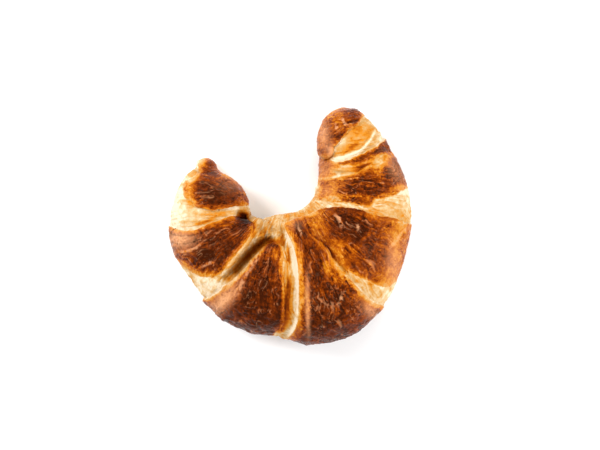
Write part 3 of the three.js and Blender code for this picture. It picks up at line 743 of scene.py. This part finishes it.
def wrinkles(u, v, point, noise):
    """Flaky crust with wrinkles that run across the roll: its height, browning with painted highlight on the
    crests and painted shade in the troughs, and where a painted glint lies.
    """
    a = (u + 2.6 * noise.lumps(point, 7, 3)) / WRINKLE_WIDTH
    b = (v + 5 * noise.lumps(point, 6, 2, 20)) / WRINKLE_LENGTH
    flat = u * 0
    crumpled = smooth(noise.lumps(point, 9, 2, 51), -0.35, 0.35)
    large = crest(noise(a, b, flat + 3.3), 0.6)
    middle = crest(noise(a * 2 + 9, b * 1.8, flat + 8.1), 0.5)
    swell = noise.lumps(point, 4, 2, 5)
    flakes = overlapping(3 * noise.layers(a * 0.9 + 31, b * 1.2, point[..., 2] / 4, 3)) - 0.4
    height = (0.8 * large + 0.5 * middle - 0.6 + 0.45 * flakes) * (0.3 + 0.7 * crumpled) + 0.7 * swell

    # Thin raised crests that carry a painted glint, and thin troughs that carry painted shade.
    crest_glint = crest(noise(a * 3.1 + 5, b * 1.6, flat + 7.7), 0.15)
    crest_glint = crest_glint * smooth(noise(a * 1.3, b * 2.1, flat + 1.2), -0.1, 0.5)
    shaded_trough = crest(noise(a * 3.6 + 2, b * 1.3, flat + 4.1), 0.25)
    shaded_trough = shaded_trough * smooth(noise(a * 1.1, b * 1.7, flat + 9.9), -0.1, 0.5)
    fibre = noise.layers(a * 3, b * 0.9, flat + 2.6, 2)
    crinkle = crinkles(point, noise)
    # Browning is paler along crests, glints and crinkles, a painted highlight, and browner in the shaded
    # troughs, a painted shade; flakes, specks and fibre vary the crust's own tone.
    tone = 0.2 * shaded_trough - 0.1 * crest_glint - 0.12 * flakes - 0.05 * noise.lumps(point, 0.9, 1)
    tone = tone - 0.12 * fibre - 0.04 * (large + middle - 0.7) - 0.1 * crinkle
    return height + 0.45 * crest_glint - 0.3 * shaded_trough + 0.5 * crinkle, tone, crest_glint


def layers_of_dough(u, v, noise):
    """Edges of thin dough layers that run across the roll, from about -1 to 1."""
    flat = u * 0
    bent = u + 3 * noise.layers(u / 7, v / 16, flat + 2.2, 2)
    show = smooth(noise(u / 3.5, v / 13, flat + 4.4), -0.35, 0.5)
    edges = overlapping(bent / 1.9)
    wide = noise(bent / 3, v / 14, flat + 6.1)
    thin = crest(noise(bent / 1.3, v / 7, flat + 9.4), 0.3)
    thin = thin * smooth(noise(u / 2.5, v / 6, flat + 3.8), -0.2, 0.4)
    crumb = noise.layers(u / 1.1, v / 1.8, flat + 1.6, 2)
    return 0.8 * (edges - 0.4) * show + 0.5 * wide + 0.9 * (thin - 0.2) + 0.45 * crumb


def blurred(field, rings, spokes):
    """Box average over a window of the grid, which wraps round the roll."""
    for axis, reach in ((0, rings), (1, spokes)):
        pad = [(0, 0), (0, 0)]
        pad[axis] = (reach + 1, reach)
        padded = np.pad(field, pad, mode="edge" if axis == 0 else "wrap")
        total = np.cumsum(padded, axis)
        width = 2 * reach + 1
        high = np.take(total, np.arange(width, width + field.shape[axis]), axis)
        low = np.take(total, np.arange(0, field.shape[axis]), axis)
        field = (high - low) / width
    return field


def crust_patches(x, y, waver, cloud):
    """Browning of the glazed patches, which are golden at their edges, and how far they cover a place."""
    brown = np.zeros(x.shape)
    glaze = np.zeros(x.shape)
    for patch in CRUST.values():
        d, _ = line_field(x, y, fine_line(patch["points"], True, 4), True)
        d = d + patch.get("torn", 0.8) * waver
        soft = patch.get("soft", 0.3)
        cover = smooth(d, -soft, soft)
        edge = 1.5 * patch["edge"] * np.maximum(1 + 1.3 * cloud, 0.3)
        deep = smooth(d, EDGE_START, EDGE_START + edge)
        tone = np.minimum(patch["brown"], EDGE_BROWN) + max(patch["brown"] - EDGE_BROWN, 0) * deep
        glaze = np.maximum(glaze, cover)
        brown = brown * (1 - cover) + tone * cover
    return brown, glaze


def browning(x, y, point, noise, waver, layers, fibre):
    """Browning, and how far a place is crust rather than bare dough."""
    cloud = noise.lumps(point, 7, 3, 40)
    mottle = noise.lumps(point, 1.9, 2, 13)
    dough = PALEST + spots_field(x, y, TINTS)
    dough += 0.12 * layers * (1 + spots_field(x, y, FLAKY)) + 0.07 * cloud + 0.08 * mottle
    crust, glaze = crust_patches(x, y, waver, cloud)
    crust += spots_field(x, y, SPOTS)
    lively = smooth(crust, 0.3, 0.7)
    crust += 0.12 * cloud + 0.07 * mottle + 1.3 * fibre * (0.5 + 0.5 * lively)
    return dough * (1 - glaze) + crust * glaze + along_lines(x, y, STROKES, stroke_profile), glaze


def large_relief(point, x, y, foot, waver, noise):
    """Height of the lips, folds, swellings and lumps, and the surface that they make."""
    normal = normals(point)
    upright = smooth(normal[..., 2], 0.2, 0.65)[..., None]
    lift = normal * (1 - upright) + np.array([0, 0, 1]) * upright
    height, lean = lip_relief(point, x, y, waver)
    height = height + along_lines(x, y, FOLDS, fold_profile) + spots_field(x, y, MOUNDS)
    height = height + 0.5 * noise.lumps(point, 5, 3, 3)
    height = height + 0.55 * (1 - upright[..., 0]) * noise.lumps(point, 2.2, 3)
    return height, point + lift * (height * foot)[..., None] + lean * foot[..., None]


def painted_sheen_strength(x, y, point, waver, fibre, noise):
    """How strong the painted sheen, a painted highlight, is at a place, from 0 to 1."""
    broken = smooth(noise.lumps(point, 1.6, 2, 3), -0.35, 0.25)
    painted_sheen = spots_field(x, y, PAINTED_SHEEN_SPOTS) + along_lines(x + waver, y, PAINTED_SHEEN_LINES, flat_profile) * broken
    return np.clip(painted_sheen - 1.2 * fibre * painted_sheen, 0, 1)


def painted_crease_shade(height):
    """Painted shade in creases: how deep a place lies below its surroundings, near and further away."""
    narrow = 0.38 * np.clip((blurred(height, 3, 3) - height) / 0.3, 0, 1)
    return narrow + np.clip((blurred(height, 12, 10) - height - 0.3) / 4, 0, 1)


def croissant_surface():
    """The finished grid of points and the fields that its material reads."""
    noise = Noise(SEED)
    point, x, y, u, v, tips = plain_roll()
    waver = ragged(point, noise)
    foot = smooth(point[..., 2], 0, FOOT_FADE) * tips
    foot = foot * (FLANK_RELIEF + (1 - FLANK_RELIEF) * smooth(normals(point)[..., 2], 0, 0.7))
    height, relief = large_relief(point, x, y, foot, waver, noise)

    more = 1 + spots_field(x, y, CRINKLED)
    wrinkle, fibre, crest_glint = (field * more for field in wrinkles(u, v, point, noise))
    painted_sheen = painted_sheen_strength(x, y, point, waver, fibre, noise)
    calm = 1 - 0.5 * painted_sheen
    layers = layers_of_dough(u, v, noise)
    brown, glaze = browning(x, y, point, noise, waver, layers, fibre * calm)
    strength = 0.3 + 0.7 * smooth(brown, 0.35, 0.75)
    fine = WRINKLE_HEIGHT * wrinkle * strength * calm * glaze + LAYER_HEIGHT * layers * (1 - glaze)
    relief = relief + normals(relief) * (fine * foot)[..., None]
    relief[..., 2] = np.maximum(relief[..., 2], UNDERSIDE)

    # Painted shade: places that lie deep, and the lines of painted shade, are darkened in the colour.
    painted_shade = painted_crease_shade(height + fine) * (0.3 + 0.7 * glaze) + along_lines(x, y, PAINTED_SHADE_LINES, stroke_profile)
    # The crest glints join the painted sheen, a painted highlight.
    painted_sheen = np.clip(painted_sheen + 0.2 * crest_glint, 0, 1) * glaze
    return relief, {"browning": brown, "glaze": glaze, "painted_shade": np.clip(painted_shade * foot, 0, 1), "painted_sheen": painted_sheen}


# ---------- mesh
def add_object(name, data, location=(0, 0, 0)):
    """A new object in the scene."""
    thing = bpy.data.objects.new(name, data)
    thing.location = location
    bpy.context.scene.collection.objects.link(thing)
    return thing


def with_poles(grid):
    """Values of a grid without its end rings, then one value for each end."""
    inner = grid[1:-1].reshape((-1,) + grid.shape[2:])
    return np.concatenate([inner, np.stack([grid[0].mean(0), grid[-1].mean(0)])])


def quad_places(rings, spokes):
    """First ring and spoke of each quad, on a grid without its end rings."""
    return np.meshgrid(np.arange(rings - 3), np.arange(spokes), indexing="ij")


def grid_corners(rings, spokes):
    """Vertex of each corner, and corners of each face: quads, then a fan of triangles at each end."""
    i, j = quad_places(rings, spokes)
    here, there = i * spokes, (i + 1) * spokes
    after = (j + 1) % spokes
    quads = np.stack([here + j, here + after, there + after, there + j], -1)
    spoke = np.arange(spokes)
    after = (spoke + 1) % spokes
    last_ring = (rings - 3) * spokes
    left_pole = (rings - 2) * spokes
    left_fan = np.stack([np.full(spokes, left_pole), after, spoke], -1)
    right_fan = np.stack([np.full(spokes, left_pole + 1), last_ring + spoke, last_ring + after], -1)
    corners = np.concatenate([quads.ravel(), left_fan.ravel(), right_fan.ravel()])
    sizes = np.concatenate([np.full(i.size, 4), np.full(2 * spokes, 3)])
    return corners.astype(np.int32), sizes.astype(np.int32)


def grid_uv(rings, spokes):
    """UV of the faces' corners: along the roll and round it. The seam lies under the croissant."""
    i, j = quad_places(rings, spokes)
    ring_u = np.arange(1, rings - 1) / (rings - 1)
    quad_u = np.stack([ring_u[i], ring_u[i], ring_u[i + 1], ring_u[i + 1]], -1)
    quad_v = np.stack([j, j + 1, j + 1, j], -1) / spokes
    parts = [np.stack([quad_u, quad_v], -1).reshape(-1, 2)]
    low = np.arange(spokes) / spokes
    high = np.arange(1, spokes + 1) / spokes
    for pole_u, rim_u, first, second in ((0, ring_u[0], high, low), (1, ring_u[-1], low, high)):
        fan_u = np.broadcast_to([pole_u, rim_u, rim_u], (spokes, 3))
        fan_v = np.stack([(low + high) / 2, first, second], -1)
        parts.append(np.stack([fan_u, fan_v], -1).reshape(-1, 2))
    return np.vstack(parts)


def grid_mesh(name, point, fields):
    """Closed mesh from a grid of rings, with a pole at each end, fields on its points and a UV map."""
    vertices = with_poles(point) * METRE
    corners, sizes = grid_corners(*point.shape[:2])
    starts = np.concatenate([[0], np.cumsum(sizes)[:-1]]).astype(np.int32)
    mesh = bpy.data.meshes.new(name)
    mesh.vertices.add(len(vertices))
    mesh.vertices.foreach_set("co", vertices.astype(np.float32).ravel())
    mesh.loops.add(len(corners))
    mesh.loops.foreach_set("vertex_index", corners)
    mesh.polygons.add(len(sizes))
    mesh.polygons.foreach_set("loop_start", starts)
    mesh.polygons.foreach_set("use_smooth", np.ones(len(sizes), bool))
    mesh.update(calc_edges=True)
    layer = mesh.uv_layers.new(name="OFBake")
    layer.uv.foreach_set("vector", grid_uv(*point.shape[:2]).astype(np.float32).ravel())
    for key, field in fields.items():
        attribute = mesh.attributes.new(key, "FLOAT", "POINT")
        attribute.data.foreach_set("value", with_poles(field).astype(np.float32))
    mesh.validate()
    return add_object(name, mesh)


# ---------- materials
def linear(rgb):
    """A colour shown on screen (0 to 255) as linear light."""
    share = [c / 255 for c in rgb]
    return tuple(c / 12.92 if c <= 0.04045 else ((c + 0.055) / 1.055) ** 2.4 for c in share) + (1.0,)


class Nodes:
    """A new material, with short names for making and joining its shader nodes."""

    def __init__(self, name):
        self.material = bpy.data.materials.new(name)
        self.material.use_nodes = True
        self.tree = self.material.node_tree
        self.tree.nodes.clear()

    def add(self, kind, inputs=(), **settings):
        """A new node, with its inputs set or joined."""
        node = self.tree.nodes.new(kind)
        for name, value in settings.items():
            setattr(node, name, value)
        for name, value in dict(inputs).items():
            if isinstance(value, bpy.types.NodeSocket):
                self.tree.links.new(value, node.inputs[name])
            else:
                node.inputs[name].default_value = value
        return node

    def math(self, operation, a, b, clamp=False):
        inputs = {0: a, 1: b}
        return self.add("ShaderNodeMath", inputs, operation=operation, use_clamp=clamp).outputs[0]

    def swing(self, texture, amount):
        """A noise texture's value, swinging about 0."""
        return self.math("MULTIPLY", self.math("SUBTRACT", texture.outputs["Fac"], 0.5), amount)

    def mix(self, blend, factor, a, b):
        inputs = {0: factor, 6: a, 7: b}
        return self.add("ShaderNodeMix", inputs, data_type="RGBA", blend_type=blend).outputs[2]

    def field(self, name):
        """A field of the mesh."""
        return self.add("ShaderNodeAttribute", attribute_name=name).outputs["Fac"]

    def ramp(self, value, colours):
        """The colours at their positions, and blended between."""
        node = self.add("ShaderNodeValToRGB", {"Fac": value})
        stops = node.color_ramp.elements
        while len(stops) < len(colours):
            stops.new(0.5)
        for stop, (position, colour) in zip(stops, colours):
            stop.position = position
            stop.color = linear(colour)
        return node.outputs["Color"]

    def finish(self, inputs):
        """The material, with its one shader joined to its output."""
        shader = self.add("ShaderNodeBsdfPrincipled", inputs)
        self.add("ShaderNodeOutputMaterial", {"Surface": shader.outputs[0]})
        return self.material


def crust_material():
    """Baked dough, coloured by the fields of the mesh with painted sheen and painted shade, and fine grain
    added.
    """
    n = Nodes("baked_dough")
    place = n.add("ShaderNodeTexCoord").outputs["Object"]
    grain = n.add("ShaderNodeTexNoise", {"Vector": place, "Scale": 1100.0, "Detail": 3.0, "Roughness": 0.6})
    mottle = n.add("ShaderNodeTexNoise", {"Vector": place, "Scale": 420.0, "Detail": 4.0, "Roughness": 0.65})
    flecks = n.math("ADD", n.swing(mottle, 0.22), n.swing(grain, 0.16))
    baked = n.ramp(n.math("ADD", n.field("browning"), flecks), BROWNING)
    # Painted highlight: a pale sheen mixed into the colour.
    with_painted_sheen = n.mix("MIX", n.field("painted_sheen"), baked, linear(PAINTED_SHEEN_COLOUR))
    # Painted shade in creases and hollows, multiplied into the colour.
    with_painted_shade = n.mix("MULTIPLY", n.field("painted_shade"), with_painted_sheen, PAINTED_SHADE_TINT)
    gloss = n.math("MULTIPLY", n.field("glaze"), CRUST_ROUGHNESS - DOUGH_ROUGHNESS)
    rough = n.math("ADD", gloss, DOUGH_ROUGHNESS)
    bump = n.add("ShaderNodeBump", {"Height": grain.outputs["Fac"], "Strength": 0.3, "Distance": 0.0002})
    return n.finish({
        "Base Color": with_painted_shade,
        "Roughness": n.math("ADD", rough, n.swing(mottle, 0.4), True),
        "Normal": bump.outputs["Normal"],
        "IOR": 1.45,
        "Specular IOR Level": 0.07,
        "Specular Tint": (1.0, 0.64, 0.38, 1.0),
    })


# ---------- studio
def add_camera():
    """Looks straight down, with the croissant a little left of the middle of the frame."""
    lens, sensor, frame_width = 150.0, 36.0, 0.312
    data = bpy.data.cameras.new("camera")
    data.lens = lens
    data.sensor_width = sensor
    data.clip_end = 20.0
    location = (0.0047, 0.0005, 0.02 + frame_width * lens / sensor)
    bpy.context.scene.camera = add_object("camera", data, location)


def add_light(name, location, size, power, glossy):
    """Square lamp that aims at the croissant."""
    data = bpy.data.lights.new(name, "AREA")
    data.size = size
    data.energy = power
    light = add_object(name, data, location)
    aim = Vector((0, 0, 0.02)) - Vector(location)
    light.rotation_euler = aim.to_track_quat("-Z", "Y").to_euler()
    light.visible_glossy = glossy


def add_studio():
    """White surroundings, four soft lamps and a pale floor."""
    world = bpy.data.worlds.new("studio")
    bpy.context.scene.world = world
    world.use_nodes = True
    background = world.node_tree.nodes["Background"]
    background.inputs["Color"].default_value = (1.0, 1.0, 1.0, 1.0)
    background.inputs["Strength"].default_value = 0.42
    for lamp in LAMPS:
        add_light(*lamp)
    bpy.ops.mesh.primitive_plane_add(size=6.0, location=(0, 0, 0))
    floor = bpy.context.object
    floor.name = "floor"
    pale = Nodes("pale_floor").finish({"Base Color": (0.93, 0.93, 0.93, 1.0), "Roughness": 0.7})
    floor.data.materials.append(pale)
    bpy.context.scene.view_settings.view_transform = "Standard"


add_camera()
surface, fields = croissant_surface()
croissant = grid_mesh("croissant_skin", surface, fields)
croissant.data.materials.append(crust_material())
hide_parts("croissant")
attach(croissant, "root")
add_studio()
